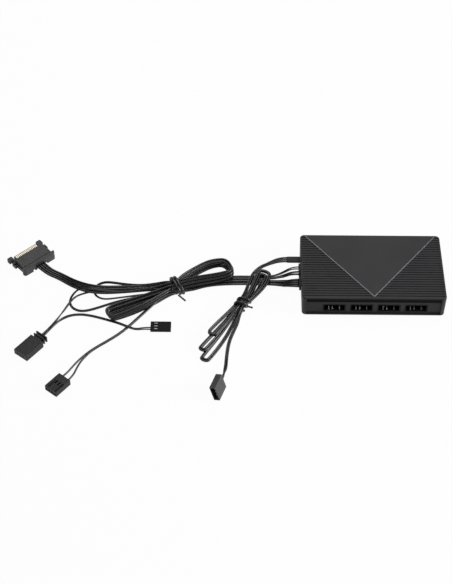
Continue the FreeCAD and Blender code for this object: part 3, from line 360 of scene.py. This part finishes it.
# a closed profile carried along several lines at once: its first number goes along wide, its second along
# out. The map's first number is the line's count plus the share of the way round, its second the length along
# the line.
def carriedPiece(name, lines, wide, out, profile, slot):
    count, steps, sides = lines.shape[0], lines.shape[1], len(profile)
    section = wide[:, None, :] * profile[None, :, :1] + out[:, None, :] * profile[None, :, 1:]
    points = (lines[:, :, None, :] + section[None]).reshape(-1, 3)
    ring = np.arange(sides)
    corner = (np.arange(count)[:, None, None] * steps + np.arange(steps - 1)[None, :, None]) * sides
    near, far = corner + ring, corner + np.roll(ring, -1)
    quads = np.stack([near, far, far + sides, near + sides], axis=-1).reshape(-1, 4)
    first = np.arange(count)[:, None] * steps * sides
    caps = np.vstack([first + ring[::-1], first + (steps - 1) * sides + ring])
    mesh = bpy.data.meshes.new(name)
    mesh.from_pydata(points.tolist(), [], quads.tolist() + caps.tolist())
    mesh.polygons.foreach_set("use_smooth", np.repeat([True, False], [len(quads), len(caps)]))

    run = np.linalg.norm(np.diff(lines, axis=1), axis=2)
    along = np.concatenate([np.zeros((count, 1)), np.cumsum(run, axis=1)], axis=1)
    row = np.broadcast_to(np.arange(count)[:, None, None], (count, steps - 1, sides))
    low = np.broadcast_to(along[:, :-1, None], row.shape)
    high = np.broadcast_to(along[:, 1:, None], row.shape)
    left, right = row + ring / sides, row + (ring + 1) / sides
    quadMap = np.stack([np.stack([left, low], -1), np.stack([right, low], -1),
                        np.stack([right, high], -1), np.stack([left, high], -1)], axis=3)
    capRound = np.tile(np.arange(count)[:, None] + ring / sides, (2, 1))
    capAlong = np.repeat(np.concatenate([along[:, 0], along[:, -1]])[:, None], sides, axis=1)
    capMap = np.stack([capRound, capAlong], axis=-1)
    layer = mesh.uv_layers.new(name="along")
    layer.data.foreach_set("uv", np.concatenate([quadMap.ravel(), capMap.ravel()]))
    mesh.update()
    piece = bpy.data.objects.new(name, mesh)
    bpy.context.scene.collection.objects.link(piece)
    mesh.materials.append(finishes[slot])
    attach(piece, "root")
    return piece


# flat cable: round wires side by side in a row, level at lean nought and on edge at lean ninety. Its wires
# part as spread times tuck grows past one; below one every second wire rises so far that neighbours touch.
def flatCable(name, look):
    rows = np.vstack(look["route"])
    line = splinePoints(rows[:, :3] * mm)
    pose = splinePoints(np.column_stack([np.radians(rows[:, 3]), rows[:, 4], 0 * rows[:, 4]]))
    ahead = unit(np.gradient(line, axis=0))
    level = unit(np.cross((0.0, 0.0, 1.0), ahead))
    rise = np.cross(ahead, level)
    lean, spread = pose[:, :1], pose[:, 1:2] * look["tuck"]
    beside = np.cos(lean) * level + np.sin(lean) * rise
    above = np.cos(lean) * rise - np.sin(lean) * level
    fold = np.sqrt(np.clip(1 - spread ** 2, 0, 1))
    order = np.arange(look["wires"])
    places, folds = order - (look["wires"] - 1) / 2, order % 2
    offsets = places[:, None, None] * (spread * beside)[None] + folds[:, None, None] * (fold * above)[None]
    lines = line[None] + look["wire"] * mm * offsets
    piece = carriedPiece(name, lines, level, rise, roundProfile(look["wire"] * mm / 2), "cable_black")
    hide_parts(*look["stands"])
    print(name, "length", round(float(np.linalg.norm(np.diff(line, axis=0), axis=1).sum()), 4))


# rows of a route: points in millimetres, a lean in degrees and a spread, the last two drawn evenly over them
def laid(points, leans=(0,), spreads=(1,)):
    return np.column_stack([np.array(points, float), drawn(leans, len(points)), drawn(spreads, len(points))])


# a point of a tied waist: so far along its heading, so far across to its left, at a height
def atWaist(waist, along, across, height):
    turn = math.radians(waist["heading"])
    return (waist["place"][0] + along * math.cos(turn) - across * math.sin(turn),
            waist["place"][1] + along * math.sin(turn) + across * math.cos(turn), height)


# rows that pass through a waist: its points along, across and up, with their leans
def tied(waist, places, leans):
    return laid([atWaist(waist, *place) for place in places], leans)


# shares of a hairpin: how far along its length its first points lie, and, as shares of its width, how far its
# shoulder lies before the tip and how wide it is at each point after the first
hairpin = dict(reach=(0, 0.28, 0.6), shoulder=0.55, widths=(0.62, 0.95, 1, 0.8))


# one turn of a hank, a hairpin: out along the right of its axis, round a blunt tip and back along the left.
# Its half width grows by fixed shares, a sine bows the axis, the inset draws the tip and the way back in, and
# the stack moves it along its own leaning row.
def loopTurn(waist, loop, stack=(0,), inset=0):
    root = np.array(atWaist(waist, loop["end"] * (waist["reach"] - 1), loop["across"], 0)[:2])
    axis = np.array(loop["tip"]) - root
    length = np.linalg.norm(axis)
    ahead = axis / length
    wide = loop["width"]
    shoulder = length - hairpin["shoulder"] * wide - inset
    along = np.append(np.array(hairpin["reach"]) * length, [shoulder, length - inset])
    half = np.append(loop["gap"], np.array(hairpin["widths"]) * wide) / 2
    along = np.concatenate([along, along[::-1]])
    side = np.concatenate([-half, half[::-1] * (1 - 2 * inset / wide)])
    side = side + loop["bow"] * np.sin(np.pi * along / length)
    plan = root + along[:, None] * ahead + side[:, None] * np.array([-ahead[1], ahead[0]])
    lean, lift = drawn(loop["leans"], len(plan)), drawn(stack, len(plan))
    travel = unit(np.gradient(plan, axis=0))
    across = np.column_stack([-travel[:, 1], travel[:, 0]])
    plan = plan + (lift * np.cos(np.radians(lean)))[:, None] * across
    height = loop["height"] + lift * np.sin(np.radians(lean))
    return np.column_stack([plan, height, lean, np.ones(len(plan))])


# the same turn travelled the other way, so that its row leans to the other hand
def back(rows):
    return rows[::-1] * (1, 1, 1, -1, 1) + (0, 0, 0, 180, 0)


# waists and loops of the main hank, which three cables share, and of the light cable's own hank
mainWaist = dict(place=(-140.0, -9.8), heading=17.0, reach=6.5)
rightLoop = dict(end=1, across=1.4, tip=(-101.4, 8.2), width=14.8, gap=4.8, bow=1.6, height=6.7,
                 leans=(70, 75, 80, 80, 85, 95, 105, 110, 110, 105))
leftLoop = dict(end=-1, across=-2.5, tip=(-185.6, -37.2), width=7.6, gap=2.0, bow=1.4, height=3.2,
                leans=(115, 125, 130, 130, 125, 115, 105, 100, 95, 95))
lightWaist = dict(place=(-92.6, -25.6), heading=62.0, reach=4.5)
upperLoops = [
    dict(end=1, across=-1.7, tip=(-76.0, 6.6), width=9.4, gap=3.4, bow=-1.6, height=5.0, leans=(30,)),
    dict(end=1, across=-1.7, tip=(-77.2, 4.4), width=6.0, gap=1.6, bow=-1.5, height=3.6, leans=(30,)),
    dict(end=1, across=-1.2, tip=(-79.4, 0.6), width=3.4, gap=0.8, bow=-1.0, height=2.2, leans=(30,))]
lowerLoops = [
    dict(end=-1, across=2.6, tip=(-113.7, -53.3), width=5.2, gap=2.0, bow=0.5, height=3.8, leans=(30,)),
    dict(end=-1, across=1.6, tip=(-120.0, -66.6), width=4.4, gap=2.0, bow=0.8, height=2.8, leans=(30,)),
    dict(end=-1, across=1.0, tip=(-118.4, -75.0), width=5.6, gap=1.6, bow=1.8, height=1.65, leans=(30,))]

# a cable: how many wires, how thick each is and how close they tuck, its stated width, its length in metres,
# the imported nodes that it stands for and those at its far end, and its route
powerCable = dict(
    wires=4, wire=1.7, tuck=0.75, width=5.4, length=0.404,
    stands=("power_cable_lead", "power_cable_tail", "main_hank"),
    ends=("power_connector_cap", "power_connector_shell", "power_connector_contacts"),
    route=[
        laid([(-51.8, -6.2, 6.1), (-56.8, -6.2, 6.1), (-63, -3.6, 2.6), (-71, -1.8, 1.0), (-84, -1.6, 0.9),
              (-97.9, -1.6, 0.9), (-110, -2.4, 0.9), (-120.1, -4.9, 1.1)],
             spreads=(1.7, 1.5, 1.3, 1.1, 1.1, 1.1, 1.1, 1)),
        tied(mainWaist, [(11.5, -2.5, 1.55), (6.5, -2.5, 1.55), (0, -3.4, 2.6)], (0, 20, 60)),
        back(loopTurn(mainWaist, leftLoop)),
        tied(mainWaist, [(0, -2.2, 4.6)], (60,)),
        loopTurn(mainWaist, rightLoop, (-1.2,)),
        tied(mainWaist, [(0, 2.6, 5.2), (-6.5, 2.7, 5.2), (-11.5, 2.7, 4.6)], (90,)),
        laid([(-163, -12.2, 5.1), (-178, -13.2, 5.0), (-191.5, -13.6, 5.0), (-201, -12.2, 4.8),
              (-208.7, -8.7, 3.9), (-215.7, -3.4, 2.2), (-223.7, 2.8, 1.4), (-231, 6.0, 2.2),
              (-235.79, 9.54, 3.25), (-239.2, 13.2, 3.25)],
             (90, 110, 130, 140, 155, 170, 180, 180, 180, 180),
             (1, 1.1, 1.2, 1.3, 1.33, 1.33, 1.33, 1.36, 1.42, 1.48))])
flatCable("power_cable", powerCable)

fanCable = dict(
    wires=2, wire=1.4, tuck=0.88, width=2.5, length=0.419,
    stands=("fan_cable_lead", "fan_cable_tail"), ends=("fan_connector",),
    route=[
        laid([(-51.8, 3.62, 6.1), (-56.8, 3.62, 6.1), (-63, 3.3, 2.8), (-71, 2.6, 0.9), (-84, 2.65, 0.7),
              (-98.1, 2.65, 0.7), (-110.8, 1.9, 0.8), (-121.5, -1.4, 1.1)],
             spreads=(2.0, 1.6, 1.1, 1, 1, 1, 1, 1)),
        tied(mainWaist, [(11.5, 1.5, 1.55), (6.5, 1.5, 1.55), (0, -1.0, 5.2)], (0, 30, 70)),
        back(loopTurn(mainWaist, leftLoop, (3.6,))),
        tied(mainWaist, [(0, -0.6, 7.6)], (60,)),
        loopTurn(mainWaist, rightLoop, (2.2,), 0.2),
        tied(mainWaist, [(0, -1.0, 8.4), (-6.5, -3.5, 1.75), (-11.5, -3.5, 1.55)], (90, 30, 0)),
        laid([(-154, -21.5, 1.2), (-158.8, -27.6, 0.7), (-164.6, -35.2, 0.7), (-171, -43.6, 0.7),
              (-177.4, -51, 0.7), (-184.4, -57.2, 0.7), (-191.2, -62.6, 0.7), (-197.6, -68.4, 0.8),
              (-203, -75.6, 1.2), (-206.4, -83, 1.9), (-208.89, -89.49, 2.3), (-212.0, -93.4, 2.3)],
             spreads=(1, 1, 1, 1, 1, 1, 1, 1, 1.3, 2.6, 3.9, 4.3))])
flatCable("fan_cable", fanCable)

syncCable = dict(
    wires=2, wire=0.95, tuck=0.92, width=2.0, length=0.682,
    stands=("sync_cable_lead", "sync_loop_small", "sync_loop_big", "sync_cable_tail"),
    ends=("sync_connector",),
    route=[
        laid([(-51.8, 8.7, 6.1), (-56.8, 8.7, 6.1), (-63, 7.0, 2.8), (-71, 4.6, 0.9), (-84, 4.85, 0.7),
              (-98.2, 4.85, 0.7), (-111.3, 3.8, 0.8), (-122.4, 0.5, 1.1)],
             spreads=(2.3, 1.7, 1.1, 1, 1, 1, 1, 1)),
        tied(mainWaist, [(11.5, 4.05, 1.55), (6.5, 4.05, 1.55), (0, 2.6, 1.6), (-6.5, 1.3, 1.55),
                         (-11.5, 1.3, 1.55)], (0,)),
        # the small loop beyond the waist
        laid([(-156.5, -13, 1.1), (-167, -14.6, 0.7), (-181, -17.2, 0.6), (-189.4, -18.6, 0.6),
              (-194, -17.6, 0.6), (-197.2, -14.8, 0.6), (-198.5, -10.8, 0.6), (-197.6, -6.6, 0.7),
              (-194.6, -3.8, 1.2), (-190, -3.6, 2.6), (-183.5, -6.2, 4.6), (-175, -9.6, 6.6),
              (-163.5, -11.2, 7.5)], (0, 0, 0, 0, 0, 20, 40)),
        tied(mainWaist, [(-11.5, 3.7, 8.2), (-6.5, 3.7, 8.2), (0, 1.5, 8.8)], (40, 60)),
        loopTurn(mainWaist, rightLoop, (4.0, 4.0, 1.2, 1.2), 1.7),
        tied(mainWaist, [(0, 1.4, 8.4), (-6.5, 1.3, 7.8), (-11.5, 1.3, 7.8)], (90, 40)),
        # the big loop beyond the waist
        laid([(-163, -15, 7.3), (-178, -17.4, 7.0), (-192, -15.8, 7.1), (-201.3, -14, 7.0),
              (-208.4, -13, 5.6), (-212.8, -15, 2.4), (-215, -19.4, 0.8), (-214.6, -24, 0.6),
              (-212, -28, 0.6), (-207, -30.4, 0.6), (-200.4, -29.4, 0.6), (-191, -25.2, 0.6),
              (-180.6, -20.6, 0.7), (-168, -17.6, 1.5), (-157, -13.9, 2.7)], (30, 0, 0, 0, 0, 0, 0, 0, 0, 0)),
        tied(mainWaist, [(-11.5, 1.3, 3.4), (-6.5, 0.2, 3.2), (0, -3.6, 1.6)], (0, 50)),
        loopTurn(mainWaist, rightLoop, (-4.5, -4.5, -1.2, -1.2), 1.7),
        tied(mainWaist, [(0, 3.4, 4.0), (-6.5, 3.7, 1.55), (-11.5, 3.7, 1.55)], (90, 0)),
        laid([(-163, -10.6, 1.8), (-178, -12, 2.0), (-190, -12.2, 2.4), (-199, -12.8, 2.4),
              (-205.6, -14.4, 2.0), (-210.8, -17.6, 2.4), (-214.4, -22.8, 2.4), (-217.8, -29.2, 1.2),
              (-221.4, -37, 1.2), (-224.9, -44.2, 1.6), (-228.53, -51.17, 2.6), (-231.58, -55.13, 2.6)],
             (0, 0, 0, 0, 0, 0, 0, 0, 60, 90, 90, 90))])
flatCable("sync_cable", syncCable)

syncBranch = dict(
    wires=2, wire=0.95, tuck=0.92, width=2.0, length=0.088,
    stands=("sync_branch",), ends=("three_pin_connector", "three_pin_contacts"),
    route=[
        laid([(-230.62, -55.87, 2.6), (-227.9, -51.65, 2.6), (-224.3, -44.7, 1.7), (-220.8, -39.4, 1.2),
              (-214.6, -34.6, 0.7), (-206.8, -33.2, 0.6), (-199.6, -34.3, 0.6), (-192, -36.6, 0.6),
              (-185, -39.6, 1.2), (-178.5, -43.2, 2.6), (-171, -47, 2.6), (-166.2, -47.8, 1.7),
              (-161.4, -46.4, 1.27), (-156.4, -46.4, 1.27)],
             (90, 90, 90, 50, 0, 0, 0, 0, 0, 0, 0, 0, 0, 0), (1,) * 11 + (1.2, 1.6, 2.0))])
flatCable("sync_branch_cable", syncBranch)

lightCable = dict(
    wires=3, wire=1.3, tuck=0.56, width=2.7, length=0.640,
    stands=("light_cable_lead", "light_cable_tail", "light_hank"),
    ends=("strip_connector", "strip_connector_pins"),
    route=[
        laid([(-59.9, 16.99, 6.1), (-64.9, 16.99, 6.1), (-71.9, 15.3, 4.4), (-79.0, 11.8, 3.4),
              (-84.4, 5.6, 3.1), (-87.2, -2.5, 3.0), (-89.2, -10.6, 3.2)],
             (0, 0, 10, 20, 30, 30, 30), (2.6, 2.6, 1.8, 1, 1, 1, 1)),
        tied(lightWaist, [(9.5, 3.0, 3.6), (4.5, 2.4, 4.4), (0, 2.2, 4.6)], (30,)),
        loopTurn(lightWaist, lowerLoops[0]),
        tied(lightWaist, [(0, 1.25, 6.2)], (90,)),
        back(loopTurn(lightWaist, upperLoops[0])),
        tied(lightWaist, [(0, -0.65, 6.2)], (150,)),
        back(loopTurn(lightWaist, lowerLoops[1])),
        tied(lightWaist, [(0, 0.3, 4.6)], (150,)),
        back(loopTurn(lightWaist, upperLoops[1])),
        tied(lightWaist, [(0, 1.25, 2.95)], (150,)),
        back(loopTurn(lightWaist, lowerLoops[2])),
        tied(lightWaist, [(0, -0.65, 2.95)], (150,)),
        back(loopTurn(lightWaist, upperLoops[2])),
        tied(lightWaist, [(0, -1.6, 4.4), (-4.5, -2.2, 3.0), (-9.5, -2.7, 1.8)], (30,)),
        laid([(-95.6, -41, 1.2), (-98.0, -48, 1.1), (-100.4, -55, 1.1), (-101.8, -61.4, 1.1),
              (-102.6, -68, 1.1), (-103.1, -75, 1.1), (-103.3, -81.6, 2.4), (-103.7, -87.2, 4.6),
              (-104.66, -92.2, 6.35), (-106.33, -96.92, 6.35)],
             (30, 30, 30, 30, 30, 30, 35, 60, 90, 90), (1, 1, 1, 1, 1, 1, 1, 1.4, 2.0, 2.4))])
flatCable("light_cable", lightCable)
print("cables laid")


# twist tie: turns round a waist, an ellipse across and up whose plane is tipped along the waist, drawn on
# from turn to turn by the pitch while it widens; its section is an oval with the two sizes in millimetres
def tieWrap(name, waist, look):
    turn = np.radians(np.linspace(look["begin"], look["begin"] + 360 * look["turns"], look["steps"]))
    share = (turn - turn[0]) / (2 * np.pi)
    grow = 1 + look["grow"] * share
    heading = math.radians(waist["heading"])
    ahead = np.array([math.cos(heading), math.sin(heading), 0.0])
    left = np.array([-ahead[1], ahead[0], 0.0])
    up = np.array([0.0, 0.0, 1.0])
    along = look["along"] + look["pitch"] * share - look["tip"] * np.cos(turn - math.radians(look["tipAt"]))
    across = look["wide"] * grow * np.cos(turn)
    rise = look["middle"] + look["tall"] * grow * np.sin(turn)
    centre = np.array([waist["place"][0], waist["place"][1], 0.0])
    line = (centre + along[:, None] * ahead + across[:, None] * left + rise[:, None] * up) * mm
    travel = unit(np.gradient(line, axis=0))
    out = unit(np.cos(turn)[:, None] * left / look["wide"] + np.sin(turn)[:, None] * up / look["tall"])
    wide = unit(np.cross(out, travel))
    out = np.cross(travel, wide)
    piece = carriedPiece(name, line[None], wide, out, roundProfile(mm / 2) * look["section"], "tie_black")
    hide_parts(look["stands"])


# twisted end of a tie: two wires that wind round a straight line between two points, half a turn apart
def tieEnd(name, look):
    share = np.linspace(0, 1, look["steps"])
    start, end = np.array(look["start"]), np.array(look["end"])
    ahead = unit(end - start)
    level = unit(np.cross((0.0, 0.0, 1.0), ahead))
    rise = np.cross(ahead, level)
    turn = 2 * np.pi * look["turns"] * share
    offset = look["wire"] / 2 * (np.cos(turn)[:, None] * level + np.sin(turn)[:, None] * rise)
    middle = start + share[:, None] * (end - start)
    lines = np.stack([middle + offset, middle - offset]) * mm
    wide, out = np.tile(level, (look["steps"], 1)), np.tile(rise, (look["steps"], 1))
    piece = carriedPiece(name, lines, wide, out, roundProfile(look["wire"] * mm / 2), "tie_black")
    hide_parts(look["stands"])


mainTie = dict(stands="main_tie", begin=-120, turns=2.0, steps=120, along=-1.4, pitch=2.3, tip=1.2, tipAt=45,
               wide=7.2, tall=5.15, middle=5.9, grow=0.02, section=(2.3, 1.4))
mainTieEnd = dict(stands="main_tie", start=(-137.8, -15.6, 2.6), end=(-132.6, -20.0, 1.2), turns=2.5,
                  wire=0.8, steps=60)
lightTie = dict(stands="light_tie", begin=-150, turns=2.0, steps=120, along=-4.2, pitch=4.4, tip=0.8,
                tipAt=60, wide=4.1, tall=3.65, middle=4.7, grow=0.02, section=(1.9, 1.9))
lightTieEnd = dict(stands="light_tie", start=(-88.6, -27.8, 4.4), end=(-84.8, -28.6, 4.0), turns=1.5,
                   wire=0.8, steps=60)
tieWrap("main_tie_wrap", mainWaist, mainTie)
tieEnd("main_tie_end", mainTieEnd)
tieWrap("light_tie_wrap", lightWaist, lightTie)
tieEnd("light_tie_end", lightTieEnd)
print("ties wound")


# ways count from nought; a pin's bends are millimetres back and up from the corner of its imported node
fanPins = dict(sockets=4, ways=6, dipping=(1, 2, 4), pitch=2.54, side=0.64,
               straight=[(8.0, 0.0), (7.9, 3.3), (7.6, 3.6), (5.0, 3.6), (1.6, 3.6)],
               dipped=[(8.0, 0.0), (7.9, 3.3), (7.6, 3.6), (2.2, 3.6), (-0.6, 1.3)])


# bent pins of the fan sockets: a square carried up from the board and forward, one pitch apart from way to
# way; some dip to the front of the mouth
def makeFanPins(look):
    half = look["side"] / 2
    profile = np.array([(-half, -half), (half, -half), (half, half), (-half, half)]) * mm
    for socket in range(look["sockets"]):
        node = "fan_pins_%d" % (socket + 1)
        low = np.array(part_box(node))[0]
        for kind in ("straight", "dipped"):
            chosen = np.isin(np.arange(look["ways"]), look["dipping"]) == (kind == "dipped")
            ways = np.flatnonzero(chosen)
            side = np.array(look[kind]) * mm
            line = np.column_stack([0 * side[:, 0], low[1] + side[:, 0], low[2] + side[:, 1]])
            across = low[0] + half * mm + ways * look["pitch"] * mm
            lines = line[None] + across[:, None, None] * np.array((1.0, 0.0, 0.0))
            ahead = unit(np.gradient(line, axis=0))
            wide = np.tile((1.0, 0.0, 0.0), (len(line), 1))
            out = np.cross(ahead, wide)
            piece = carriedPiece("%s_%s" % (node, kind), lines, wide, out, profile, "pin_metal")
            piece.data.polygons.foreach_set("use_smooth", np.zeros(len(piece.data.polygons), bool))
            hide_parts(node)


makeFanPins(fanPins)
print("socket pins bent")

bpy.context.view_layer.update()
